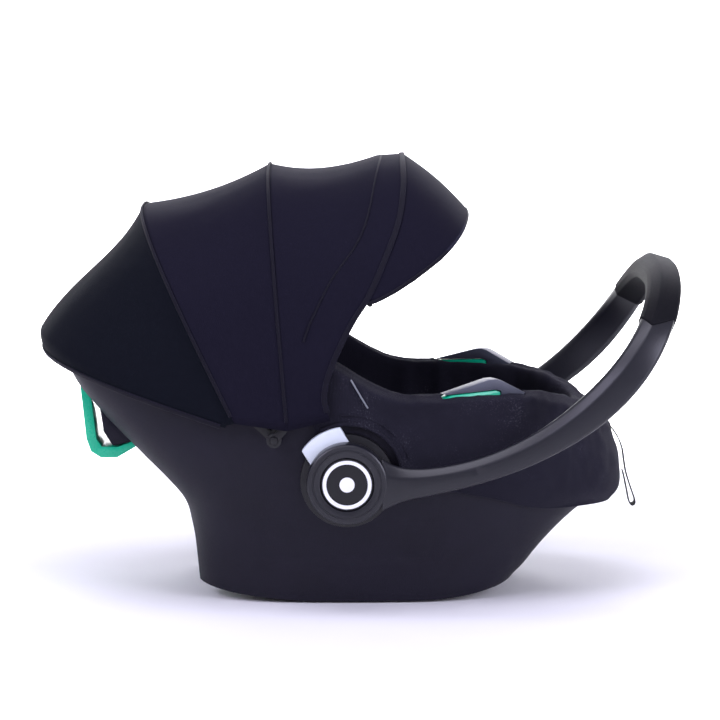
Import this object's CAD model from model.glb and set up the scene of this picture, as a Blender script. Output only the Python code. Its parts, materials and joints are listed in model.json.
# Infant car seat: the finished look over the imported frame.
# +X points to the feet, +Y to the child's left and +Z up. Shapes are worked out in
# millimetres and stored in metres.
import json
import math
import random
import bmesh
import bpy
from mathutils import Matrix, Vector, noise


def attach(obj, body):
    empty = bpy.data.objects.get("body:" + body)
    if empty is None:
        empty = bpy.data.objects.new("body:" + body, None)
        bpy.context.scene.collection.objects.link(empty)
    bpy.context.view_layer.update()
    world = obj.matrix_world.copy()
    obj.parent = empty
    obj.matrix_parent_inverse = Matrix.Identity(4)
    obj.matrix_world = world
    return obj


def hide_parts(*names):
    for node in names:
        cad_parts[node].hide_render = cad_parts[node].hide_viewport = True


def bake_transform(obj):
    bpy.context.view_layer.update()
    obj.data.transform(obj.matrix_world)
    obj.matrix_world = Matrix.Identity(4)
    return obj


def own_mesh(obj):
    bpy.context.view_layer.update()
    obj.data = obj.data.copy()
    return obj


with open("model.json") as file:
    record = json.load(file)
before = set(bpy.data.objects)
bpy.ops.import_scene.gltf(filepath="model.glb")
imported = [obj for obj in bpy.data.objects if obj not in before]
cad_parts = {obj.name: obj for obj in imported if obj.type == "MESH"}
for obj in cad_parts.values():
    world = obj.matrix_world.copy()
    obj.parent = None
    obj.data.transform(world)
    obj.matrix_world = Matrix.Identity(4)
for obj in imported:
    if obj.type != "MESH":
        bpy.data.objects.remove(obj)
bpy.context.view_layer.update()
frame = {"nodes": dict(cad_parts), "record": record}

MM = 0.001
random.seed(7)
BODY = {n: b for b, nodes in frame["record"]["behaviour"]["bodies"].items() for n in nodes}
SIDES = (("left", 1), ("right", -1))


# ---------- curves ----------
def lerp(a, b, t):
    return a + (b - a) * t


def clamp(t, a=0.0, b=1.0):
    return min(b, max(a, t))


def ease(t):
    t = clamp(t)
    return t * t * (3 - 2 * t)


def spow(a, e):
    return math.copysign(abs(a) ** e, a)


def cosd(a):
    return math.cos(math.radians(a))


def sind(a):
    return math.sin(math.radians(a))


def lookup(x, table):
    """A smooth curve through the table's points."""
    xs = [p[0] for p in table]
    if x <= xs[0]:
        return table[0][1]
    if x >= xs[-1]:
        return table[-1][1]
    i = max(k for k in range(len(xs)) if xs[k] <= x)

    def slope(k):
        lo, hi = max(0, k - 1), min(len(table) - 1, k + 1)
        return (table[hi][1] - table[lo][1]) / (table[hi][0] - table[lo][0])
    (x0, y0), (x1, y1) = table[i], table[i + 1]
    h = x1 - x0
    t = (x - x0) / h
    return ((1 + 2 * t) * (1 - t) ** 2 * y0 + t * (1 - t) ** 2 * h * slope(i)
            + t * t * (3 - 2 * t) * y1 + t * t * (t - 1) * h * slope(i + 1))


# ---------- the seat's shapes, in millimetres ----------
SHELL_REAR, SHELL_FRONT, SHELL_WIDTH, SHELL_WALL = 312, 288, 364, 4
RIM_HEIGHT, HEAD_RISE, FOOT_DROP = 222, 72, 42
BASE_WIDTH, BASE_REAR, BASE_FRONT = 284, 168, 184
AXIS_Z, HUB_R, HANDLE_WIDTH = 143, 43, 440
SEAT_LOW, BACK_RISE, LEG_RISE, LOW_X, RIM_BAND = 74, 186, 84, 25, 32
COVER_WALL, CLOTH = 5, 2
COVER_GAP, TUCK_WALL, HOLE_R, GUIDE_TOP = 1.8, 1.5, 59.5, 290
MOUNT_FACE = HANDLE_WIDTH / 2 - 27


def taper(x):
    return 1 - 0.20 * (x / SHELL_FRONT) ** 1.7 if x > 0 else 1 - 0.10 * (-x / SHELL_REAR) ** 2


def plan(u, rear, front, half, n):
    x = (front if math.cos(u) > 0 else rear) * spow(math.cos(u), 2 / n)
    return x, half * taper(x) * spow(math.sin(u), 2 / n)


def rim_z(x):
    foot = FOOT_DROP * ((x - 180) / (SHELL_FRONT - 180)) ** 2 if x > 180 else 0
    return RIM_HEIGHT + HEAD_RISE * ease((70 - x) / 165) - foot


def rock_z(x):
    return 2 + 15 * clamp((-20 - x) / (BASE_REAR - 20)) ** 2 + 16 * clamp((x - 80) / (BASE_FRONT - 80)) ** 2


REAR = [[0, 0], [.19, .03], [.343, .26], [.484, .53], [.657, .86], [.736, .94], [.88, .975], [1, 1]]
FRONT = [[0, 0], [.2, -.04], [.4, -.02], [.48, .04], [.53, .13], [.58, .26], [.65, .39], [.789, .63],
        [.94, .87], [1, 1]]
HALF = [[0, 0], [.4, .03], [.55, .2], [.7, .52], [.85, .82], [1, 1]]


def outer(u, v, inset=0.0):
    rear = lerp(SHELL_REAR, BASE_REAR, lookup(v, REAR)) - inset
    front = lerp(SHELL_FRONT, BASE_FRONT, lookup(v, FRONT)) - inset
    half = lerp(SHELL_WIDTH, BASE_WIDTH, lookup(v, HALF)) / 2 - inset
    x, y = plan(u, rear, front, half, lerp(2.5, 4.2, v))
    return Vector((x, y, lerp(rim_z(x), rock_z(x), v)))


def seat_z(x):
    if x < LOW_X:
        return SEAT_LOW + BACK_RISE * ((LOW_X - x) / (LOW_X + SHELL_REAR)) ** 1.4
    return SEAT_LOW + LEG_RISE * ((x - LOW_X) / (SHELL_FRONT - LOW_X)) ** 1.6


def bowl(u, q, inset, lift, up=0.0):
    across = sind(90 * q) ** 0.6
    x, y = plan(u, SHELL_REAR - inset, SHELL_FRONT - inset, SHELL_WIDTH / 2 - inset, 2.5)
    x, y = x * across, y * across
    return Vector((x, y, lerp(seat_z(x) + lift, rim_z(x), (1 - cosd(90 * q)) ** 1.2) + up))


# ---------- canopy ----------
CANOPY_HALF = SHELL_WIDTH / 2 + COVER_WALL + 9.2
CANOPY_AXIS = Vector((-78, 0, 186))
FRONT_HOOP = ((-40, 208), (58, 479), CANOPY_HALF, 2.7)
MIDDLE_HOOP = ((-64, 197), (-87, 468), CANOPY_HALF, 2.7)
REAR_HOOP = ((-120, 205), (-227, 423), CANOPY_HALF, 2.7)
BULGE_HOOP = ((-128, 203), (-342, 288), CANOPY_HALF - 2, 2.5)
HEM_HOOP = ((-130, 200), (-337, 267), CANOPY_HALF - 4, 2.5)


def hoop(h, a, inset=0.0):
    (x0, z0), (x1, z1) = h[0], h[1]
    long = math.hypot(x1 - x0, z1 - z0)
    rise = (long - inset) * cosd(a) ** (2 / h[3]) if abs(a) < 90 else 0.0
    return Vector((x0 + (x1 - x0) / long * rise, (h[2] - inset) * spow(sind(a), 2 / h[3]),
            z0 + (z1 - z0) / long * rise))


EDGE = [[0, 22], [.09, 7], [.185, 3], [.305, 5], [.4, 9.5], [.48, 16], [.62, 20], [.77, 21], [.9, 14],
        [1, 4]]


def edge(a, inset=0.0):
    rise = cosd(a) ** (2 / 2.7) if abs(a) < 90 else 0.0
    return hoop(FRONT_HOOP, a, inset) + Vector((lookup(rise, EDGE), 0, 0))


def panel_point(pa, pb, a, t, sag, start=0.0, turn=0.0):
    p = pa.lerp(pb, t)
    w = clamp((t - start) / (1 - start))
    mid = Vector((CANOPY_AXIS.x, 0, CANOPY_AXIS.z))
    return p + (mid - p).normalized() * sag * 4 * w * (1 - w) * (1 - turn * w) * max(0.0, cosd(a)) ** 0.7


# ---------- handle ----------
GRIP = Vector((345, AXIS_Z + 206))
HANDLE_WIDE = [[.03, 78], [.06, 66], [.09, 48], [.12, 37], [.16, 31], [.22, 28], [.32, 27], [.45, 30],
        [.6, 36], [.72, 38], [.85, 36], [1, 32]]
CORNER, SQUARE = 0.66, 2.8


def side_path(t):
    a = Vector((0, AXIS_Z))
    b, c, d = a + Vector((0.48 * GRIP.x, -14)), GRIP + Vector((-37, -130)), GRIP
    return (1 - t) ** 3 * a + 3 * t * (1 - t) ** 2 * b + 3 * t * t * (1 - t) * c + t ** 3 * d


def arm_share(a):
    b = min(a, 180 - a)
    if b < 45:
        return lerp(.03, CORNER, b / 45)
    return CORNER + (1 - CORNER) * clamp(sind((b - 45) * 2)) ** (2 / SQUARE)


def arm_across(a):
    b, t = min(a, 180 - a), arm_share(a)
    half = HANDLE_WIDTH / 2 - 9.5 - 16 * t * t
    return (1 if a < 90 else -1) * (half if b < 45 else half * clamp(cosd((b - 45) * 2)) ** (2 / SQUARE))


def handle_point(a):
    p = side_path(arm_share(a))
    return Vector((p.x, arm_across(a), p.y))


SECTION = [(-.80, 1.0), (-.3, 1.0), (.30, 1.0), (.42, .96), (.88, .35), (1.0, 0.0), (.94, -.6),
           (.70, -1.0), (0, -1.0), (-.70, -1.0), (-.95, -.7), (-1.0, 0), (-.96, .7)]


def handle_at(a, p, grow=0.0):
    t = arm_share(a)
    d = side_path(min(1, t + .01)) - side_path(max(0, t - .01))
    d.normalize()
    up = Vector((-d.y, 0, d.x))
    b = clamp(a, 1, 179)
    forward = (handle_point(b + 1) - handle_point(b - 1)).normalized()
    out = up.cross(forward).normalized()
    wide = lookup(t, HANDLE_WIDE) / 2 + grow
    thick = lerp(19, 28, ease((t - CORNER) / (1 - CORNER))) / 2 + grow
    return handle_point(a) + up * wide * p[0] + out * thick * p[1]


# ---------- materials ----------
def linear(code, scale=1.0):
    """An sRGB hex colour as linear light."""
    parts = [int(code[i:i + 2], 16) / 255 for i in (1, 3, 5)]
    return [scale * (c / 12.92 if c <= 0.04045 else ((c + 0.055) / 1.055) ** 2.4) for c in parts] + [1.0]


def add(tree, kind, inputs=None, **settings):
    """Adds a node with its settings; an input is a socket to link or a value to set."""
    n = tree.nodes.new(kind)
    for key, value in settings.items():
        setattr(n, key, value)
    for key, value in (inputs or {}).items():
        if isinstance(value, bpy.types.NodeSocket):
            tree.links.new(value, n.inputs[key])
        else:
            n.inputs[key].default_value = value
    return n


def ramp(tree, fac, stops):
    n = add(tree, "ShaderNodeValToRGB", {"Fac": fac})
    while len(n.color_ramp.elements) < len(stops):
        n.color_ramp.elements.new(0.5)
    for e, (place, colour) in zip(n.color_ramp.elements, stops):
        e.position, e.color = place, colour
    return n.outputs["Color"]


def grey(v):
    return (v, v, v, 1)


def begin(name):
    m = bpy.data.materials.new(name)
    m.use_nodes = True
    tree = m.node_tree
    tree.nodes.clear()
    out = add(tree, "ShaderNodeOutputMaterial")
    shader = add(tree, "ShaderNodeBsdfPrincipled")
    tree.links.new(shader.outputs[0], out.inputs["Surface"])
    return m, tree, shader


def moulded(name, colour, rough, grain, bump, spread=0.12, ior=1.5, coat=0.0, slow=60.0, shine=0.4):
    """Injection-moulded plastic: a colour that drifts a little, and an etched grain of that size in mm."""
    m, tree, shader = begin(name)
    place = add(tree, "ShaderNodeTexCoord").outputs["Object"]
    drift = add(tree, "ShaderNodeTexNoise",
            {"Vector": place, "Scale": 1000 / slow, "Detail": 3.0}).outputs["Fac"]
    etch = add(tree, "ShaderNodeTexVoronoi", {"Vector": place, "Scale": 1000 / grain}).outputs["Distance"]
    specks = add(tree, "ShaderNodeTexNoise",
            {"Vector": place, "Scale": 1000 / (grain * 2.5), "Detail": 4.0}).outputs["Fac"]
    tree.links.new(ramp(tree, drift, [(0.3, linear(colour, 1 - spread)),
            (0.7, linear(colour, 1 + spread))]), shader.inputs["Base Color"])
    tree.links.new(add(tree, "ShaderNodeMapRange",
            {"Value": specks, "To Min": rough - 0.06, "To Max": rough + 0.07}).outputs[0],
            shader.inputs["Roughness"])
    height = add(tree, "ShaderNodeMath", {0: etch, 1: specks}, operation="ADD").outputs[0]
    tree.links.new(add(tree, "ShaderNodeBump",
            {"Height": height, "Strength": bump, "Distance": grain * MM * 0.5}).outputs[0],
            shader.inputs["Normal"])
    shader.inputs["IOR"].default_value = ior
    shader.inputs["Specular IOR Level"].default_value = shine
    shader.inputs["Coat Weight"].default_value = coat
    return m


def cloth(name, dark, light, thread, bump, sheen, rough=0.85, mix=0.5, knit=False):
    """Woven or knitted cloth on the piece's own UV map, in metres. thread is the spacing in mm."""
    m, tree, shader = begin(name)
    uv = add(tree, "ShaderNodeUVMap", uv_map="cloth").outputs[0]
    place = add(tree, "ShaderNodeTexCoord").outputs["Object"]
    warp = add(tree, "ShaderNodeTexWave",
            {"Vector": uv, "Scale": 1000 / thread / 6.283 * 2, "Distortion": 0.6, "Detail Scale": 3.0},
               wave_type="BANDS", bands_direction="X").outputs["Fac"]
    weft = add(tree, "ShaderNodeTexWave",
            {"Vector": uv, "Scale": 1000 / thread / 6.283 * (1.2 if knit else 2), "Distortion": 0.8,
            "Detail Scale": 3.0},
               wave_type="BANDS", bands_direction="DIAGONAL" if knit else "Y").outputs["Fac"]
    weave = add(tree, "ShaderNodeMath", {0: warp, 1: weft},
            operation="MULTIPLY" if knit else "MAXIMUM").outputs[0]
    yarn = add(tree, "ShaderNodeTexNoise",
            {"Vector": place, "Scale": 1000 / (thread * 1.6), "Detail": 3.0,
            "Roughness": 0.7}).outputs["Fac"]
    drift = add(tree, "ShaderNodeTexNoise", {"Vector": place, "Scale": 14.0, "Detail": 3.0}).outputs["Fac"]
    melange = add(tree, "ShaderNodeMath", {0: yarn, 1: drift, 2: -0.3 + mix * 0.2},
            operation="MULTIPLY_ADD").outputs[0]
    tone = ramp(tree, add(tree, "ShaderNodeMath", {0: melange, 1: weave}, operation="MULTIPLY").outputs[0],
                [(0.0, linear(dark, 0.8)), (0.22, linear(dark)), (0.55, linear(light))])
    tree.links.new(tone, shader.inputs["Base Color"])
    tree.links.new(add(tree, "ShaderNodeMapRange",
            {"Value": yarn, "To Min": rough - 0.08, "To Max": rough + 0.08}).outputs[0],
            shader.inputs["Roughness"])
    height = add(tree, "ShaderNodeMath", {0: weave, 1: yarn}, operation="ADD").outputs[0]
    tree.links.new(add(tree, "ShaderNodeBump",
            {"Height": height, "Strength": bump, "Distance": thread * MM * 0.5}).outputs[0],
            shader.inputs["Normal"])
    shader.inputs["Sheen Weight"].default_value = sheen
    shader.inputs["Sheen Roughness"].default_value = 0.45
    shader.inputs["Sheen Tint"].default_value = linear(light, 1.0)
    shader.inputs["Specular IOR Level"].default_value = 0.12
    return m


def stitched(name, dark, light, pitch, across):
    """Webbing or tape: ribs along its length and a row of stitches near each edge.

    The UV map runs along it in metres, and 0 to 1 across."""
    m, tree, shader = begin(name)
    uv = add(tree, "ShaderNodeUVMap", uv_map="cloth").outputs[0]
    split = add(tree, "ShaderNodeSeparateXYZ", {0: uv})
    along, side = split.outputs[0], split.outputs[1]
    ribs = add(tree, "ShaderNodeMath", {0: add(tree, "ShaderNodeMath", {0: side, 1: 6.283 * across},
            operation="MULTIPLY").outputs[0]}, operation="SINE").outputs[0]
    picks = add(tree, "ShaderNodeMath", {0: add(tree, "ShaderNodeMath", {0: along, 1: 6283 / (pitch * 0.5)},
            operation="MULTIPLY").outputs[0]}, operation="SINE").outputs[0]
    dash = add(tree, "ShaderNodeMath", {0: add(tree, "ShaderNodeMath", {0: along, 1: 6283 / pitch},
            operation="MULTIPLY").outputs[0]}, operation="SINE").outputs[0]
    dash = add(tree, "ShaderNodeMath", {0: dash, 1: -0.35}, operation="GREATER_THAN").outputs[0]
    fold = add(tree, "ShaderNodeMath", {0: side, 1: 0.5}, operation="SUBTRACT").outputs[0]
    fold = add(tree, "ShaderNodeMath", {0: fold}, operation="ABSOLUTE").outputs[0]
    row = add(tree, "ShaderNodeMath", {0: fold, 1: 0.36, 2: 0.04}, operation="COMPARE").outputs[0]
    stitch = add(tree, "ShaderNodeMath", {0: row, 1: dash}, operation="MULTIPLY").outputs[0]
    weave = add(tree, "ShaderNodeMath", {0: ribs, 1: picks}, operation="MULTIPLY").outputs[0]
    weave = add(tree, "ShaderNodeMapRange", {"Value": weave, "From Min": -1.0, "From Max": 1.0}).outputs[0]
    base = ramp(tree, weave, [(0.1, linear(dark, 0.75)), (0.9, linear(dark, 1.3))])
    tone = add(tree, "ShaderNodeMix", {0: stitch, 6: base, 7: linear(light)}, data_type="RGBA").outputs[2]
    tree.links.new(tone, shader.inputs["Base Color"])
    height = add(tree, "ShaderNodeMath", {0: stitch, 1: 0.8, 2: weave}, operation="MULTIPLY_ADD").outputs[0]
    tree.links.new(add(tree, "ShaderNodeBump",
            {"Height": height, "Strength": 0.5, "Distance": 0.0004}).outputs[0], shader.inputs["Normal"])
    shader.inputs["Roughness"].default_value = 0.72
    shader.inputs["Sheen Weight"].default_value = 0.05
    shader.inputs["Specular IOR Level"].default_value = 0.15
    return m


def metal(name, colour, rough, brush):
    """Zinc-plated steel: fine drawn lines of that spacing in mm, and a cloudy plating."""
    m, tree, shader = begin(name)
    place = add(tree, "ShaderNodeTexCoord").outputs["Object"]
    stretched = add(tree, "ShaderNodeMapping", {"Vector": place, "Scale": (1.0, 0.05, 1.0)}).outputs[0]
    lines = add(tree, "ShaderNodeTexNoise",
            {"Vector": stretched, "Scale": 1000 / brush, "Detail": 3.0}).outputs["Fac"]
    cloud = add(tree, "ShaderNodeTexNoise", {"Vector": place, "Scale": 90.0, "Detail": 4.0}).outputs["Fac"]
    tree.links.new(ramp(tree, cloud, [(0.3, linear(colour, 0.82)), (0.7, linear(colour))]),
            shader.inputs["Base Color"])
    tree.links.new(add(tree, "ShaderNodeMapRange",
            {"Value": lines, "To Min": rough - 0.08, "To Max": rough + 0.12}).outputs[0],
            shader.inputs["Roughness"])
    tree.links.new(add(tree, "ShaderNodeBump",
            {"Height": lines, "Strength": 0.15, "Distance": 0.0002}).outputs[0], shader.inputs["Normal"])
    shader.inputs["Metallic"].default_value = 1.0
    return m


def beads(name, colour, size):
    """Expanded polypropylene foam: fused beads with dark creases between them."""
    m, tree, shader = begin(name)
    place = add(tree, "ShaderNodeTexCoord").outputs["Object"]
    cell = add(tree, "ShaderNodeTexVoronoi", {"Vector": place, "Scale": 1000 / size}).outputs["Distance"]
    tree.links.new(ramp(tree, cell, [(0.2, linear(colour, 1.15)), (0.75, linear(colour, 0.55))]),
            shader.inputs["Base Color"])
    tree.links.new(add(tree, "ShaderNodeBump",
            {"Height": cell, "Strength": 0.6, "Distance": -0.0005}).outputs[0], shader.inputs["Normal"])
    tree.links.new(add(tree, "ShaderNodeMapRange",
            {"Value": cell, "To Min": 0.6, "To Max": 0.9}).outputs[0], shader.inputs["Roughness"])
    return m


def fleece(name, dark, light, size):
    """Brushed jersey over padding: short loops of that size in mm, with a soft sheen."""
    m, tree, shader = begin(name)
    place = add(tree, "ShaderNodeTexCoord").outputs["Object"]
    loops = add(tree, "ShaderNodeTexVoronoi", {"Vector": place, "Scale": 1000 / size}).outputs["Distance"]
    fuzz = add(tree, "ShaderNodeTexNoise",
            {"Vector": place, "Scale": 1000 / (size * 2), "Detail": 5.0}).outputs["Fac"]
    tone = add(tree, "ShaderNodeMath", {0: loops, 1: fuzz}, operation="MULTIPLY").outputs[0]
    tree.links.new(ramp(tree, tone, [(0.05, linear(dark)), (0.5, linear(light))]),
            shader.inputs["Base Color"])
    tree.links.new(add(tree, "ShaderNodeMapRange",
            {"Value": fuzz, "To Min": 0.78, "To Max": 0.95}).outputs[0], shader.inputs["Roughness"])
    tree.links.new(add(tree, "ShaderNodeBump",
            {"Height": tone, "Strength": 0.5, "Distance": size * MM * 0.5}).outputs[0],
            shader.inputs["Normal"])
    shader.inputs["Sheen Weight"].default_value = 0.35
    shader.inputs["Specular IOR Level"].default_value = 0.2
    return m


# PP copolymer, spark-eroded mould: a satin charcoal with a fine grain that softens its highlights
SHELL = moulded("PP copolymer, spark-etched", "#14121f", 0.56, 0.9, 0.18, shine=0.22)
# Glass-filled PA, satin mould: near black with broad soft highlights
ARM = moulded("PA6 glass-filled, satin moulded", "#14141c", 0.34, 0.7, 0.12, shine=0.5)
# ABS, satin mould: the darker small parts and the mounts
DARK = moulded("ABS, satin moulded", "#0f0f13", 0.42, 0.6, 0.12)
GUIDE = moulded("PP, fine matt moulded", "#4a4d5a", 0.42, 0.6, 0.15)
# ABS, polished mould: a saturated green with clear highlights
GREEN = moulded("ABS green, polished mould", "#05b98c", 0.28, 0.5, 0.05, spread=0.06, coat=0.2)
BUTTON = moulded("ABS light grey, satin moulded", "#dfe7ee", 0.42, 0.6, 0.08, spread=0.05)
# UV-cured ink on ABS: flat white with a hard edge
PRINT = moulded("UV print, white", "#eceef2", 0.35, 0.4, 0.04, spread=0.03)
RED = moulded("ABS red, polished mould", "#b01a22", 0.3, 0.5, 0.05, spread=0.08, coat=0.2)
# TPE, soft-touch moulded: very dark and dull, with a slightly velvety highlight
GRIPPY = moulded("TPE soft-touch, matt moulded", "#0e0e13", 0.7, 0.8, 0.25, shine=0.12)
RUBBER = moulded("EPDM rubber, matt moulded", "#161617", 0.75, 1.2, 0.3)
FOAM = beads("EPP, steam-moulded beads", "#3b3b42", 3.2)
STEEL = metal("Steel, zinc plated", "#b9bcc4", 0.32, 0.4)
# Polyester stretch jersey, 1.1 mm ribs drawn coarse enough to show: deep navy with a violet edge
JERSEY = cloth("Polyester stretch jersey, knitted", "#141222", "#2a2840", 1.1, 0.22, 0.05, mix=0.6,
        knit=True)
JERSEY_BACK = cloth("Polyester stretch jersey, blue-black knitted", "#070b16", "#111c33", 1.1, 0.22, 0.02,
        mix=0.6, knit=True)
# Melange plain weave, yarns 1.0 mm apart: grey flecks over black
MELANGE = cloth("Polyester melange, plain woven", "#201f2a", "#85848f", 1.0, 0.6, 0.1, mix=1.0)
INSERT = fleece("Cotton jersey, brushed", "#100f1a", "#343347", 1.2)
WEBBING = stitched("Polyester webbing, woven", "#0c0c0f", "#24252b", 2.4, 9)
BINDING = stitched("Polyester binding tape, woven", "#0c0a17", "#1d1b34", 2.4, 6)
# Thin silver piping in the seam where the cover meets the canopy
PIPING = moulded("Silver piping, coated tape", "#7c8088", 0.35, 0.4, 0.05, spread=0.08)


# ---------- pieces ----------
def stand(name, bm, material, body, node=None, sharp=34.0):
    """Makes a finished piece of a bmesh, riding on a body and standing for a CAD node."""
    for f in bm.faces:
        f.smooth = True
    for e in bm.edges:
        e.smooth = not (len(e.link_faces) == 2 and e.calc_face_angle(0.0) > math.radians(sharp))
    mesh = bpy.data.meshes.new(name)
    bm.to_mesh(mesh)
    bm.free()
    obj = bpy.data.objects.new(name, mesh)
    bpy.context.scene.collection.objects.link(obj)
    mesh.materials.append(material)
    if body:
        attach(obj, body)
    if node:
        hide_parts(*([node] if isinstance(node, str) else node))
    return obj


def patch(nu, nv, place, around=False, size=None):
    """A grid shaped by place(u, v), both from 0 to 1. size is its width and length in mm, for the UV map."""
    bm = bmesh.new()
    bmesh.ops.create_grid(bm, x_segments=nu, y_segments=nv, size=0.5)
    layer = bm.loops.layers.uv.new("cloth")
    wide, long = size or (1000, 1000)
    for f in bm.faces:
        for l in f.loops:
            l[layer].uv = ((l.vert.co.x + 0.5) * wide * MM, (l.vert.co.y + 0.5) * long * MM)
    for v in bm.verts:
        v.co = Vector(place(v.co.x + 0.5, v.co.y + 0.5)) * MM
    if around:
        bmesh.ops.remove_doubles(bm, verts=bm.verts, dist=1e-6)
    return bm


def fill_ends(bm):
    rim = [e for e in bm.edges if e.is_boundary]
    if rim:
        bmesh.ops.holes_fill(bm, edges=rim, sides=0)
    bmesh.ops.recalc_face_normals(bm, faces=bm.faces)


def copy_of(node):
    bm = bmesh.new()
    bm.from_mesh(frame["nodes"][node].data)
    bmesh.ops.remove_doubles(bm, verts=bm.verts, dist=2e-5)
    return bm


def soften(bm, width, limit=28.0, segments=2):
    """Rounds the sharp edges by width, in mm."""
    bmesh.ops.dissolve_limit(bm, angle_limit=math.radians(0.6), verts=bm.verts, edges=bm.edges)
    sharp = [e for e in bm.edges if len(e.link_faces) == 2 and e.calc_face_angle(0.0) > math.radians(limit)]
    bmesh.ops.bevel(bm, geom=sharp, offset=width * MM, offset_type="OFFSET", segments=segments, profile=0.5,
                    affect="EDGES", clamp_overlap=True, material=-1)


def finished(node, material, width=0.5, limit=28.0):
    """A CAD part with its edges rounded, as its mould or die leaves them."""
    bm = copy_of(node)
    if width:
        soften(bm, width, limit)
    return stand(node + "_finish", bm, material, BODY[node], node)


def carve(obj, cutter):
    """Cuts a closed shape out of a piece."""
    mod = obj.modifiers.new("cut", "BOOLEAN")
    mod.operation, mod.solver, mod.object = "DIFFERENCE", "EXACT", cutter
    bake(obj)
    bpy.data.objects.remove(cutter)


def bake(obj):
    """Applies the piece's modifiers to its mesh."""
    graph = bpy.context.evaluated_depsgraph_get()
    graph.update()
    mesh = bpy.data.meshes.new_from_object(obj.evaluated_get(graph))
    obj.modifiers.clear()
    obj.data = mesh


def tool(bm):
    mesh = bpy.data.meshes.new("tool")
    bmesh.ops.recalc_face_normals(bm, faces=bm.faces)
    bm.to_mesh(mesh)
    bm.free()
    obj = bpy.data.objects.new("tool", mesh)
    bpy.context.scene.collection.objects.link(obj)
    return obj


def block(x0, x1, y0, y1, z0, z1, turn=0.0, pivot=(0, 0), corner=0.0, axis=0):
    """A box as a cutter, turned in plan about a point, its edges along an axis rounded by corner."""
    bm = bmesh.new()
    bmesh.ops.create_cube(bm, size=1.0)
    for v in bm.verts:
        v.co = Vector((lerp(x0, x1, v.co.x + .5), lerp(y0, y1, v.co.y + .5), lerp(z0, z1, v.co.z + .5)))
    if corner:
        long = [e for e in bm.edges if abs((e.verts[0].co - e.verts[1].co).normalized()[axis]) > 0.9]
        bmesh.ops.bevel(bm, geom=long, offset=corner, segments=8, profile=0.5, affect="EDGES", material=-1)
    for v in bm.verts:
        x, y = v.co.x - pivot[0], v.co.y - pivot[1]
        c, s = cosd(turn), sind(turn)
        v.co = Vector((pivot[0] + x * c - y * s, pivot[1] + x * s + y * c, v.co.z)) * MM
    return bm


def disc(r, y0, y1, x=0.0, z=AXIS_Z, segments=96):
    """A round bar along Y, as a cutter."""
    bm = bmesh.new()
    bmesh.ops.create_cone(bm, cap_ends=True, segments=segments, radius1=r * MM, radius2=r * MM,
            depth=(y1 - y0) * MM)
    for v in bm.verts:
        v.co = Vector((v.co.x + x * MM, v.co.z + (y0 + y1) / 2 * MM, v.co.y + z * MM))
    return bm


def turned(profile, side, steps=96):
    """A round part about the handle's axis. The profile is (radius, y) points in mm, on the child's left."""
    bm = bmesh.new()
    points = [bm.verts.new((r * MM, y * MM, 0)) for r, y in profile]
    edges = [bm.edges.new((a, b)) for a, b in zip(points, points[1:])]
    bmesh.ops.spin(bm, geom=points + edges, cent=(0, 0, 0), axis=(0, 1, 0), angle=math.tau, steps=steps,
            use_merge=True)
    bmesh.ops.remove_doubles(bm, verts=bm.verts, dist=1e-6)
    for v in bm.verts:
        v.co = Vector((v.co.x, v.co.y * side, v.co.z + AXIS_Z * MM))
    bmesh.ops.recalc_face_normals(bm, faces=bm.faces)
    return bm


def cord_along(points, radius, sides=8):
    """A tube of that radius in mm along points, for piping and rolled hems."""
    n = len(points)

    def place(u, v):
        k = min(n - 1, int(round(v * (n - 1))))
        a, b = points[max(0, k - 1)], points[min(n - 1, k + 1)]
        way = (b - a).normalized()
        side = way.cross(Vector((0, 0, 1)) if abs(way.z) < 0.95 else Vector((1, 0, 0))).normalized()
        top = side.cross(way)
        c = math.tau * u
        return points[k] + side * radius * math.cos(c) + top * radius * math.sin(c)
    length = sum((b - a).length for a, b in zip(points, points[1:]))
    bm = patch(sides, n - 1, place, around=True, size=(1000, length))
    fill_ends(bm)
    return bm


def tape_along(points, ups, wide, thick, sides=12):
    """A flat tape of that width along points; ups are its outward directions.

    Its UV runs along it, and 0 to 1 across."""
    n = len(points)

    def place(u, v):
        k = min(n - 1, int(round(u * (n - 1))))
        way = (points[min(n - 1, k + 1)] - points[max(0, k - 1)]).normalized()
        side = way.cross(ups[k]).normalized()
        c = math.tau * v
        return points[k] + side * wide / 2 * spow(math.cos(c), 0.7) + ups[k] * thick / 2 * spow(math.sin(c),
                0.8)
    length = sum((b - a).length for a, b in zip(points, points[1:]))
    bm = patch(n - 1, sides * 2, place, around=True, size=(length, 2000))
    layer = bm.loops.layers.uv["cloth"]
    for f in bm.faces:
        for l in f.loops:
            l[layer].uv.y = 1 - abs(1 - l[layer].uv.y) if l[layer].uv.y <= 2 else 0
    fill_ends(bm)
    return bm


def spline(points, t):
    """A smooth curve through points, t from 0 to 1."""
    x = clamp(t) * (len(points) - 1)
    k = min(len(points) - 2, int(x))
    f = x - k
    p1, p2 = points[k], points[k + 1]
    p0 = points[k - 1] if k else p1 * 2 - p2
    p3 = points[k + 2] if k + 2 < len(points) else p2 * 2 - p1
    square, cube = 2 * p0 - 5 * p1 + 4 * p2 - p3, 3 * p1 - p0 - 3 * p2 + p3
    return 0.5 * (2 * p1 + (p2 - p0) * f + square * f * f + cube * f ** 3)


def mirrored(p, side):
    return Vector((p.x, p.y * side, p.z))


# ---------- shell and base ----------
def side_mark(x, z):
    """A shallow rounded panel pressed into each side, 200 by 44 mm."""
    dx, dz = abs(x + 1) - 86, abs(z - 71) - 8
    d = math.hypot(max(dx, 0), max(dz, 0)) + min(max(dx, dz), 0) - 14
    return 1.3 * ease(0.5 - d / 6)


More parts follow.
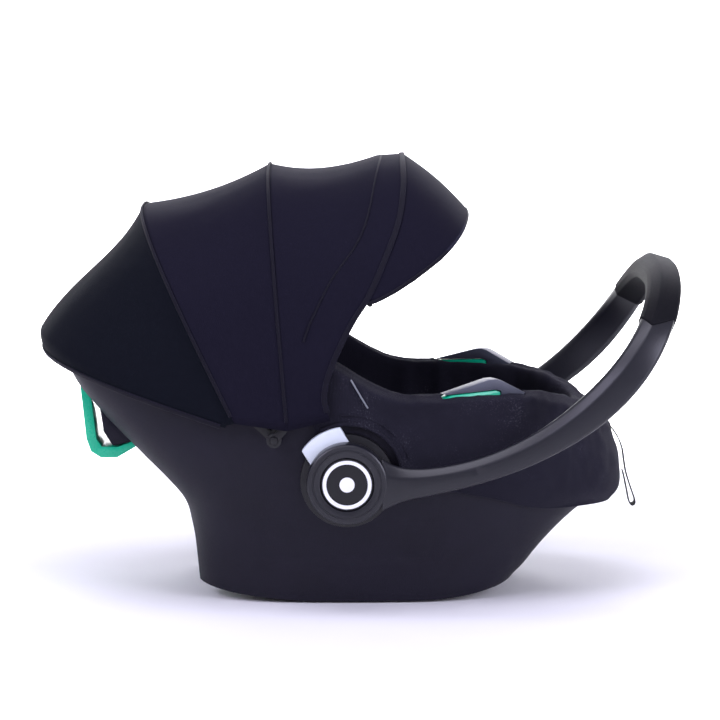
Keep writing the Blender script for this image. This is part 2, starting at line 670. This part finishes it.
def make_shell():
    rows, turns = 72, 240

    def place(u, w):
        k = int(round(w * (2 * rows + 2))) % (2 * rows + 2)
        if k <= rows:
            p = outer(math.tau * u, k / rows)
            return outer(math.tau * u, k / rows, side_mark(p.x, p.z) if abs(p.y) > 90 else 0)
        return outer(math.tau * u, (2 * rows + 1 - k) / rows, SHELL_WALL)
    bm = patch(turns, 2 * rows + 2, place, around=True)
    bmesh.ops.recalc_face_normals(bm, faces=bm.faces)
    rims = [e for e in bm.edges if len(e.link_faces) == 2 and e.calc_face_angle(0.0) > math.radians(50)]
    bmesh.ops.bevel(bm, geom=rims, offset=1.1 * MM, segments=3, profile=0.5, affect="EDGES",
            clamp_overlap=True, material=-1)
    obj = stand("shell_moulding", bm, SHELL, "seat_shell", "outer_shell")
    for s in (1, -1):
        carve(obj, tool(disc(50.2, *sorted((s * (MOUNT_FACE - 26), s * (MOUNT_FACE + 10))))))
    carve(obj, tool(block(-330, -BASE_REAR + 40, -85, 85, -60, 84, corner=30)))
    carve(obj, tool(block(BASE_FRONT - 40, 330, -75, 75, -60, 70, corner=30)))
    mesh_sharp(obj, 34)
    return obj


def mesh_sharp(obj, limit):
    bm = bmesh.new()
    bm.from_mesh(obj.data)
    for f in bm.faces:
        f.smooth = True
    for e in bm.edges:
        e.smooth = not (len(e.link_faces) == 2 and e.calc_face_angle(0.0) > math.radians(limit))
    bm.to_mesh(obj.data)
    bm.free()


def button_spring(n):
    """The coil behind a release button, which shortens as the button goes in."""
    obj = finished("button_spring_" + n, STEEL, 0)
    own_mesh(obj)


make_shell()
finished("bottom_pan", DARK, 0.4)
finished("foam_liner", FOAM, 0)
finished("rocker_pads", RUBBER, 0.6)
finished("pan_screws", STEEL, 0.2)
finished("rear_belt_guide", SHELL, 1.2)
finished("rear_guide_clip", GREEN, 1.6)
for n in ("base_bar_front", "base_bar_rear"):
    finished(n, STEEL, 0.6)
for n, s in SIDES:
    finished("bar_carrier_" + n, DARK, 0.7)
    finished("pivot_mount_" + n, DARK, 0.7)
    finished("pivot_screw_" + n, STEEL, 0.3)
    finished("lap_guide_" + n, GUIDE, 1.8)
    finished("lap_guide_lip_" + n, GREEN, 1.2)
    finished("release_button_" + n, BUTTON, 1.2)
    button_spring(n)
    finished("canopy_pin_" + n, DARK, 0.4)


# ---------- handle ----------
def make_handle():
    turns = 220
    count = len(SECTION)

    def place(u, w):
        a = lerp(3.2, 176.8, w)
        i = int(round(u * count)) % count
        p = SECTION[i]
        near = 0.97 if arm_share(a) < 0.13 else 1.0
        return handle_at(a, (p[0], p[1] * near))
    bm = patch(count, turns, place, around=True)
    fill_ends(bm)
    ridge = [e for e in bm.edges if len(e.link_faces) == 2 and e.calc_face_angle(0.0) > math.radians(17)]
    bmesh.ops.bevel(bm, geom=ridge, offset=1.9 * MM, segments=3, profile=0.5, affect="EDGES",
            clamp_overlap=True, material=-1)
    bmesh.ops.recalc_face_normals(bm, faces=bm.faces)
    arm = bpy.data.meshes.new("arm")
    bm.to_mesh(arm)
    bm.free()
    face = HANDLE_WIDTH / 2
    rim = [(12.05, face - 24), (41.6, face - 24), (42.6, face - 23), (HUB_R, face - 22),
            (HUB_R, face - 2.6), (42.4, face - 0.9),
           (41.0, face), (37.2, face), (36.8, face - 0.5), (35.8, face - 0.5), (35.4, face), (30.2, face),
            (29.0, face - 0.5),
           (28.5, face - 1.6), (28.5, face - 11), (12.05, face - 11), (12.05, face - 24)]
    whole = bmesh.new()
    whole.from_mesh(arm)
    for n, s in SIDES:
        hub = turned(rim, s)
        part = bpy.data.meshes.new("hub")
        hub.to_mesh(part)
        hub.free()
        whole.from_mesh(part)
    stand("handle_moulding", whole, ARM, "carry_handle", "handle_frame", sharp=30)


make_handle()


def make_sleeve():
    """The soft grip over the handle's far bar; its ends meet the arms in a slanted line."""
    rows, count = 96, len(SECTION)

    def place(u, w):
        i = int(round(u * count)) % count
        p = SECTION[i]
        slant = 3.4 * abs(p[0] - 0.35) if p[1] > 0 else 2.6
        start = 60 + slant
        k = int(round(w * rows))
        grow = (-0.6, 1.0, 1.6)[min(k, rows - k, 2)]
        step = clamp((k - 1) / (rows - 2))
        return handle_at(lerp(start, 180 - start, step), p, grow)
    bm = patch(count, rows, place, around=True)
    bmesh.ops.recalc_face_normals(bm, faces=bm.faces)
    ridge = [e for e in bm.edges if len(e.link_faces) == 2 and e.calc_face_angle(0.0) > math.radians(17)]
    bmesh.ops.bevel(bm, geom=ridge, offset=2.2 * MM, segments=3, profile=0.5, affect="EDGES",
            clamp_overlap=True, material=-1)
    stand("grip_cover", bm, GRIPPY, "carry_handle", "grip_sleeve", sharp=40)


make_sleeve()
for n, s in SIDES:
    top = HANDLE_WIDTH / 2
    stand("hub_cap_%s_finish" % n, turned([(0.01, top - 7), (27.6, top - 7), (28, top - 6.6),
            (28, top - 1.2), (27.2, top - 0.4),
          (26.1, top - 0.4), (26.1, top - 1.15), (0.01, top - 1.15)], s), DARK, "carry_handle",
            "hub_cap_" + n, sharp=25)
    stand("hub_ring_" + n, turned([(22, top - 1.1), (22, top - 0.35), (22.2, top - 0.2), (25.8, top - 0.2),
            (26, top - 0.35), (26, top - 1.1), (22, top - 1.1)], s),
          PRINT, "carry_handle", "hub_emblem_" + n)
    stand("hub_dot_" + n, turned([(0.01, top - 1.1), (8, top - 1.1), (8, top - 0.35), (7.8, top - 0.2),
            (0.01, top - 0.2)], s),
          PRINT, "carry_handle")


# ---------- canopy ----------
def closed_cloth(obj, thick=CLOTH * 0.8):
    mod = obj.modifiers.new("thickness", "SOLIDIFY")
    mod.thickness, mod.offset = thick * MM, -1
    mod.use_even_offset = False


def outward(bm, centre):
    """Turns the faces of an open sheet away from a point inside the seat."""
    bmesh.ops.recalc_face_normals(bm, faces=bm.faces)
    c = Vector(centre) * MM
    if sum((f.calc_center_median() - c).dot(f.normal) * f.calc_area() for f in bm.faces) < 0:
        bmesh.ops.reverse_faces(bm, faces=bm.faces)


def front_cloth(a, t):
    return panel_point(edge(a), hoop(MIDDLE_HOOP, a), a, t * 0.996, 10, 0.2)


def rear_cloth(a, t):
    return panel_point(hoop(MIDDLE_HOOP, a), hoop(REAR_HOOP, a), a, t * 0.996, 8)


def back_cloth(a, t):
    if t < 0.8:
        return panel_point(hoop(REAR_HOOP, a), hoop(BULGE_HOOP, a), a, t / 0.8, 12, 0, 1.6)
    return panel_point(hoop(BULGE_HOOP, a), hoop(HEM_HOOP, a), a, (t - 0.8) / 0.2, -2)


def pull(p, a, t, amount):
    """Slight drag lines that run between two bows."""
    wave = noise.noise(Vector((a * 0.055, t * 1.1, 3.1))) + 0.5 * noise.noise(Vector((a * 0.13, t * 2.0,
            9.7)))
    mid = Vector((CANOPY_AXIS.x, 0, CANOPY_AXIS.z))
    return p + (p - mid).normalized() * amount * wave * 4 * t * (1 - t)


def angle_of(u):
    """From 0 to 1 across a section, closer together near its feet, where it curves in."""
    return 90 * math.sin((u - 0.5) * math.pi) * 0.35 + 90 * (2 * u - 1) * 0.65


def panel_piece(name, surface, nu, nv, size, material, amount):
    bm = patch(nu, nv, lambda u, v: pull(surface(angle_of(u), v), angle_of(u), v, amount), size=size)
    outward(bm, (-60, 0, 200))
    obj = stand(name, bm, material, None, None, sharp=80)
    closed_cloth(obj)
    return obj


FRONT_CUT, REAR_CUT, BACK_CUT, VISOR_CUT = (0.78, 0.155), (0.78, 0.16), (0.74, 0.22), (0.55, 0.1)
DRAG_LINES = 1.5
cloth_parts = {}
for name, surface, cut, mat, node, rows in (
        ("canopy_front_cloth", front_cloth, FRONT_CUT, JERSEY, "canopy_front_panel", 30),
        ("canopy_rear_cloth", rear_cloth, REAR_CUT, JERSEY, "canopy_rear_panel", 30),
        ("canopy_back_cloth", back_cloth, BACK_CUT, JERSEY_BACK, "canopy_back_panel", 44)):
    cloth_parts[name] = panel_piece(name, surface, 130, rows, (cut[0] * 1000, cut[1] * 1000), mat,
            DRAG_LINES)
    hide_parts(node)


def visor_point(u, v, inset=0.0):
    share = 2 * u - 1
    foot = edge(69 * share, inset)
    long = 94 * cosd(90 * abs(share) * 0.995) ** 0.72
    fall = lerp(-24, -41, cosd(90 * share) ** 0.5 if abs(share) < 1 else 0)
    belly = 3.5 * math.sin(math.pi * v) * cosd(90 * share)
    way = Vector((cosd(fall), 0, sind(fall)))
    return foot + way * (1 + long * v) + Vector((-sind(fall), 0, cosd(fall))) * belly


bm = patch(110, 26, visor_point, size=(VISOR_CUT[0] * 1000, VISOR_CUT[1] * 1000))
outward(bm, (60, 0, 330))
cloth_parts["visor_cloth"] = stand("visor_cloth", bm, JERSEY, None, None, sharp=80)
closed_cloth(cloth_parts["visor_cloth"])
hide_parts("canopy_visor")

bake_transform(cloth_parts["canopy_front_cloth"])
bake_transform(cloth_parts["canopy_rear_cloth"])
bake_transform(cloth_parts["canopy_back_cloth"])
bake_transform(cloth_parts["visor_cloth"])


def seam_line(surface, path, lift, steps=90):
    """Points over a surface along (angle, share) pairs, lifted off it."""
    flat = [Vector((a, t, 0)) for a, t in path]
    out = []
    for k in range(steps + 1):
        q = spline(flat, k / steps)
        p = surface(q.x, q.y)
        da, dt = surface(q.x + 0.4, q.y) - surface(q.x - 0.4, q.y), surface(q.x,
                min(1, q.y + .01)) - surface(q.x, max(0, q.y - .01))
        n = da.cross(dt).normalized()
        if n.dot(p - Vector((-60, 0, 200))) < 0:
            n.negate()
        out.append((p + n * lift, n))
    return out


def bound_edge(name, surface, t, wide, thick, material, body, span=89.4, lift=0.7, steps=150):
    line = seam_line(surface, [(a, t) for a in (-span, -60, -30, 0, 30, 60, span)], lift, steps)
    bm = tape_along([p for p, n in line], [n for p, n in line], wide, thick)
    return stand(name, bm, material, body, None, sharp=70)


bound_edge("front_binding", front_cloth, 0.012, 6.0, 1.7, BINDING, "canopy_front")
bound_edge("middle_bow_sleeve", rear_cloth, 0.0, 3.4, 1.8, BINDING, "canopy_middle")
bound_edge("rear_bow_sleeve", back_cloth, 0.0, 3.8, 2.0, BINDING, "canopy_rear")
bound_edge("canopy_hem", back_cloth, 0.985, 6.0, 1.9, BINDING, "seat_shell")
rim = [visor_point(k / 120, 1.0) for k in range(121)]
stand("visor_hem", cord_along([p - Vector((1.5, 0, 0.6)) for p in rim], 2.1), BINDING, "visor",
        sharp=70)
line = seam_line(front_cloth, [(-76.5, .64), (-62.5, .47), (-49.6, .29), (-25, .22), (0, .17), (25, .22),
        (49.6, .29), (62.5, .47), (76.5, .64)], 0.3, 160)
piece = stand("front_dart_seam", tape_along([p for p, n in line], [n for p, n in line], 2.0, 1.1), BINDING,
        None, sharp=70)
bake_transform(piece)
for n in ("front", "middle", "rear"):
    finished("canopy_bow_" + n, DARK, 0.25)
finished("visor_wire", DARK, 0)

# ---------- cover ----------
GUIDE_MID, GUIDE_TURN = 146, 20
GUIDE_Y = SHELL_WIDTH / 2 * taper(GUIDE_MID) * spow(math.sin(math.acos((GUIDE_MID / SHELL_FRONT) ** 1.25)),
        0.8) - 18
CROTCH_X, ADJUST_X = 62, SHELL_FRONT - 74
ADJUST_Z = seat_z(ADJUST_X)


def hem_v(u):
    x = outer(u, 0.3).x
    return clamp((rim_z(x) - lerp(134, 101, ease((x - 60) / 200))) / (rim_z(x) - rock_z(x)), 0.05, 0.9)


def puff(u, v):
    return 5 * max(0, math.cos(u)) ** 3 * sind(180 * clamp(v * 1.6))


def cover_side(u, k, off, up, rise=0.0):
    x = outer(u, 0).x
    down, out = ease((x + 42) / 30), ease((x + 75) / 18)
    v = hem_v(u) * k * down
    thin = min(off, lerp(COVER_GAP + TUCK_WALL, off, ease((x + 30) / 40)))
    p = outer(u, v, -thin - puff(u, v)) + Vector((0, 0, up * (1 - down)))
    t = outer(u, 0, 5 - 3 * k) + Vector((0, 0, up))
    return t.lerp(p, out) + Vector((0, 0, rise))


BOWL_STEPS = [0.85, 0.7, 0.55, 0.4, 0.3, 0.2, 0.11, 0.044, 0.014]


def cover_section(u):
    w = COVER_WALL
    pts = [cover_side(u, k, COVER_GAP + w, lerp(w + 3, 2.5, k)) for k in (1, .8, .6, .4, .2, .06)]
    pts.append(cover_side(u, 0, COVER_GAP + w * .7, w, w * .6))
    pts += [bowl(u, 1, 8, 0, w + 2.5), bowl(u, 1, 16, 0, w + 4.5), bowl(u, 1, RIM_BAND - 8, 0, w + 2.5),
            bowl(u, 1, RIM_BAND + w, 0, w - 1)]
    pts += [bowl(u, q, RIM_BAND + w, w) for q in BOWL_STEPS]
    pts.append(Vector((0, 0, seat_z(0) + w)))
    return pts


def creases(p, s):
    """Folds that cross the rim beside the legs and round the foot end, where the cover is pulled in."""
    top = ease((s - 0.16) / 0.14) * (1 - ease((s - 0.75) / 0.15))
    cross = noise.noise(Vector((p.x * 0.055, p.y * 0.02, 1.7)))
    fine = noise.noise(Vector((p.x * 0.11, p.y * 0.05, p.z * 0.05 + 5.0)))
    soft = noise.noise(Vector((p.x * 0.018, p.y * 0.018, p.z * 0.018)))
    return top * (3.6 * cross + 1.8 * fine) + 1.4 * soft + (1 - top) * 0.7 * fine


def make_cover():
    turns, rows = 260, 120
    sections = {}

    def section(u):
        key = int(round(u * turns)) % turns
        if key not in sections:
            sections[key] = cover_section(math.tau * key / turns)
        return sections[key]

    def place(u, v):
        return spline(section(u), v * 0.9995)
    bm = patch(turns, rows, place, around=True, size=(1500, 560))
    bmesh.ops.remove_doubles(bm, verts=bm.verts, dist=1.2e-4)
    outward(bm, (60, 0, -200))
    bm.normal_update()
    moved = [(v, v.normal * creases(v.co / MM, clamp((v.co.z / MM - 95) / 160)) * MM) for v in bm.verts]
    for v, d in moved:
        if v.co.x > -0.02:
            v.co += d
    bmesh.ops.solidify(bm, geom=bm.faces[:], thickness=4.6 * MM)
    bmesh.ops.recalc_face_normals(bm, faces=bm.faces)
    obj = stand("cover_cloth", bm, MELANGE, "seat_shell", "seat_cover", sharp=60)
    for n, s in SIDES:
        carve(obj, tool(disc(HOLE_R, *sorted((s * (MOUNT_FACE - 26), s * (MOUNT_FACE + 14))))))
        carve(obj, tool(block(96, 193, s * GUIDE_Y - 10, s * GUIDE_Y + 10, 216, GUIDE_TOP,
                turn=-GUIDE_TURN * s, pivot=(GUIDE_MID, s * GUIDE_Y))))
    carve(obj, tool(block(CROTCH_X - 4, CROTCH_X + 4, -15, 15, 0, 140)))
    carve(obj, tool(block(ADJUST_X - 21, ADJUST_X + 21, -21, 21, ADJUST_Z - 40, ADJUST_Z + 60)))
    mesh_sharp(obj, 60)
    return obj


make_cover()


def side_y(x, z, off):
    """Half width of the shell's outside at that place in side view, plus off."""
    v = clamp((rim_z(x) - z) / (rim_z(x) - rock_z(x)))
    n = lerp(2.5, 4.2, v)
    front = lerp(SHELL_FRONT, BASE_FRONT, lookup(v, FRONT)) + off
    rear = lerp(SHELL_REAR, BASE_REAR, lookup(v, REAR)) + off
    c = clamp((abs(x) / (front if x > 0 else rear)) ** (n / 2))
    half = lerp(SHELL_WIDTH, BASE_WIDTH, lookup(v, HALF)) / 2 + off
    return half * taper(x) * math.sin(math.acos(c)) ** (2 / n)


for n, s in SIDES:
    arc = [(60.2 * cosd(a), AXIS_Z + 60.2 * sind(a)) for a in [lerp(-6, 118, k / 60) for k in range(61)]]
    pts = [Vector((x, s * side_y(x, z, 5.6), z)) for x, z in arc]
    stand("cover_collar_" + n, cord_along(pts, 2.3), MELANGE, "seat_shell", sharp=70)
    seam = [(70 * cosd(a), AXIS_Z + 70 * sind(a)) for a in [lerp(20, 96, k / 50) for k in range(51)]]
    pts = [Vector((x, s * side_y(x, z, 6.3), z)) for x, z in seam]
    stand("collar_seam_" + n, cord_along(pts, 0.8), MELANGE, "seat_shell", sharp=70)
hem = [cover_side(math.radians(lerp(-96, 96, k / 200)), 1.0, COVER_GAP + COVER_WALL * 0.5, 2.5)
        for k in range(201)]
stand("cover_hem", cord_along([p for p in hem if p.x > 40], 2.6), MELANGE, "seat_shell", sharp=70)

# Silver piping on the short edge where the cover meets the canopy
for n, s in SIDES:
    line = [Vector((x, s * side_y(x, rim_z(x) - 6, 8.2), rim_z(x) - lerp(-4, 16, k / 24)))
            for k in range(25) for x in [lerp(4, 22, k / 24)]]
    stand("cover_piping_" + n, cord_along(line, 0.9), PIPING, "seat_shell", sharp=70)

# ---------- insert, headrest and harness ----------
def stuffed(node, material, voxel, reach, pressure=4.0):
    """A padded piece: its CAD shape remeshed, blown up like a stuffed bag and held within reach, in mm."""
    bm = copy_of(node)
    obj = stand(node + "_padding", bm, material, BODY[node], node, sharp=180)
    remesh = obj.modifiers.new("skin", "REMESH")
    remesh.mode, remesh.voxel_size, remesh.use_smooth_shade = "VOXEL", voxel * MM, True
    bake(obj)
    rest = [v.co.copy() for v in obj.data.vertices]
    sim = obj.modifiers.new("stuffing", "CLOTH")
    sim.settings.use_pressure = True
    sim.settings.uniform_pressure_force = pressure
    sim.settings.effector_weights.gravity = 0
    sim.settings.quality = 4
    for f in range(1, 21):
        bpy.context.scene.frame_set(f)
    bake(obj)
    bpy.context.scene.frame_set(1)
    for v, r in zip(obj.data.vertices, rest):
        d = v.co - r
        if d.length > reach * MM:
            v.co = r + d.normalized() * reach * MM
    bm = bmesh.new()
    bm.from_mesh(obj.data)
    for _ in range(2):
        bmesh.ops.smooth_vert(bm, verts=bm.verts, factor=0.5, use_axis_x=True, use_axis_y=True,
                use_axis_z=True)
    for f in bm.faces:
        f.smooth = True
    bm.to_mesh(obj.data)
    bm.free()
    return obj


stuffed("infant_insert", INSERT, 5, 3)
stuffed("headrest_pad", INSERT, 4.5, 2)
stuffed("crotch_pad", INSERT, 3, 1.5)
for n, s in SIDES:
    stuffed("shoulder_pad_" + n, INSERT, 3, 2)
finished("headrest_shell", DARK, 0.8)
finished("headrest_grip", DARK, 1.5)
finished("buckle_body", DARK, 0.9)
finished("buckle_button", RED, 0.8)
finished("buckle_tongues", STEEL, 0.4)
finished("adjuster_body", DARK, 0.8)
finished("adjuster_button", GUIDE, 1.0)
finished("harness_yoke", STEEL, 0.4)

INSERT_LOW, INSERT_WALL = COVER_WALL + 1, 16


def lying_z(x):
    return seat_z(x) + INSERT_LOW + INSERT_WALL + 4


BUCKLE = Vector((CROTCH_X - 26, 0, lying_z(CROTCH_X - 26) + 4))
TONGUE_X = BUCKLE.x - 36


def shoulder_line(s, x0, x1, lift, n):
    drop = BUCKLE.z + 4 - lying_z(TONGUE_X)
    out = []
    for k in range(n + 1):
        x = lerp(x0, x1, k / n)
        out.append(Vector((x, s * lerp(40, 13.5, ease((x + 125) / (TONGUE_X + 125))),
                lying_z(x) + lift + drop * ease((x + 50) / (TONGUE_X + 50)))))
    return out


def strap(name, points, wide, material, node, body="seat_shell", thick=1.6, side=Vector((0, 1, 0))):
    ups = []
    for k in range(len(points)):
        way = (points[min(len(points) - 1, k + 1)] - points[max(0, k - 1)]).normalized()
        ups.append(way.cross(side).normalized())
    return stand(name, tape_along(points, ups, wide, thick), material, body, node, sharp=70)


for n, s in SIDES:
    line = [p + Vector((0, 0, 0.8)) for p in shoulder_line(s, -98, TONGUE_X - 1, 0.5, 60)]
    strap("shoulder_webbing_" + n, line, 24, WEBBING, "shoulder_strap_" + n)
    a, b = bowl(math.pi / 2, 0.58, RIM_BAND + 22,
            22) + Vector((-4, -5, 4)), Vector((TONGUE_X - 3, 26, BUCKLE.z + 3))
    line = [mirrored(Vector((lerp(a.x, b.x, k / 50), lerp(a.y, b.y, k / 50),
            lerp(a.z, b.z, ease(k / 50)) + 0.8)), s) for k in range(51)]
    strap("lap_webbing_" + n, line, 20, WEBBING, "lap_strap_" + n, side=Vector((1, 0, 0)))
finished("crotch_strap", WEBBING, 0.3)

# The strap that tightens the harness hangs down the front and ends in a sewn loop
ROUTE = [(-14, 172.5), (-10, 167), (-6, 160), (-2, 149), (0, 136), (2.5, 122), (7.5, 106), (12, 93),
         (12.5, 87.5), (9, 85.5), (6, 90), (3.5, 102), (.6, 116), (-1.4, 124)]
knots = [Vector((SHELL_FRONT + 22 + x, 0, z)) for x, z in ROUTE]
strap("pull_webbing", [spline(knots, k / 110) for k in range(111)], 22, WEBBING, "adjuster_strap")

# A folded cloth label, left blank
finished("cover_tag", WEBBING, 0.4)

# ---------- floor, light and camera ----------
def flat_floor():
    """A white sweep: flat under the seat, and curved up far behind it."""
    m, tree, shader = begin("Painted board, matt")
    place = add(tree, "ShaderNodeTexCoord").outputs["Object"]
    paper = add(tree, "ShaderNodeTexNoise", {"Vector": place, "Scale": 8.0, "Detail": 3.0}).outputs["Fac"]
    tree.links.new(ramp(tree, paper, [(0.3, grey(0.93)), (0.7, grey(0.95))]), shader.inputs["Base Color"])
    shader.inputs["Roughness"].default_value = 0.9
    bm = bmesh.new()
    path = [(-9.0, 0.0), (4.0, 0.0)] + [(4.0 + 1.5 * sind(a), 1.5 - 1.5 * cosd(a))
            for a in range(5, 95, 5)] + [(5.5, 7.0)]
    left = [bm.verts.new((-9, y, z)) for y, z in path]
    right = [bm.verts.new((9, y, z)) for y, z in path]
    for k in range(len(path) - 1):
        bm.faces.new((left[k], right[k], right[k + 1], left[k + 1])).smooth = True
    mesh = bpy.data.meshes.new("floor")
    bm.to_mesh(mesh)
    bm.free()
    obj = bpy.data.objects.new("floor", mesh)
    bpy.context.scene.collection.objects.link(obj)
    mesh.materials.append(m)


def lamp(name, place, aim, power, size, colour="#ffffff"):
    data = bpy.data.lights.new(name, "AREA")
    data.energy, data.shape, data.size, data.size_y = power, "RECTANGLE", size[0], size[1]
    data.color = linear(colour)[:3]
    obj = bpy.data.objects.new(name, data)
    obj.location = place
    obj.rotation_euler = (Vector(aim) - Vector(place)).to_track_quat("-Z", "Y").to_euler()
    bpy.context.scene.collection.objects.link(obj)


flat_floor()
lamp("overhead_soft_box", (-0.3, -0.5, 2.6), (0, 0, 0.25), 40, (2.2, 1.6), "#eeecff")
lamp("key_soft_box", (-1.9, -2.0, 1.9), (0, 0, 0.25), 44, (1.2, 1.2), "#e6e2ff")
lamp("fill_soft_box", (2.4, -1.8, 1.2), (0.1, 0, 0.2), 50, (1.2, 1.6), "#e8e6ff")
lamp("back_soft_box", (0.4, 2.4, 1.7), (0, 0, 0.3), 22, (2.4, 1.2), "#eeecff")
lamp("backdrop_light", (0, 1.6, 2.2), (0, 5, 0.2), 480, (4.0, 1.0))
world = bpy.data.worlds.new("studio")
world.use_nodes = True
world.node_tree.nodes["Background"].inputs[0].default_value = (0.86, 0.85, 1.0, 1)
world.node_tree.nodes["Background"].inputs[1].default_value = 0.42
bpy.context.scene.world = world
bpy.context.scene.view_settings.view_transform = "Standard"

camera = bpy.data.cameras.new("camera")
camera.lens, camera.sensor_width = 165.2, 36
view = bpy.data.objects.new("camera", camera)
view.location = (0.0137, -3.671, 0.7124)
view.rotation_euler = (Vector((0.0137, 0, 0.2487)) - view.location).to_track_quat("-Z", "Y").to_euler()
bpy.context.scene.collection.objects.link(view)
bpy.context.scene.camera = view
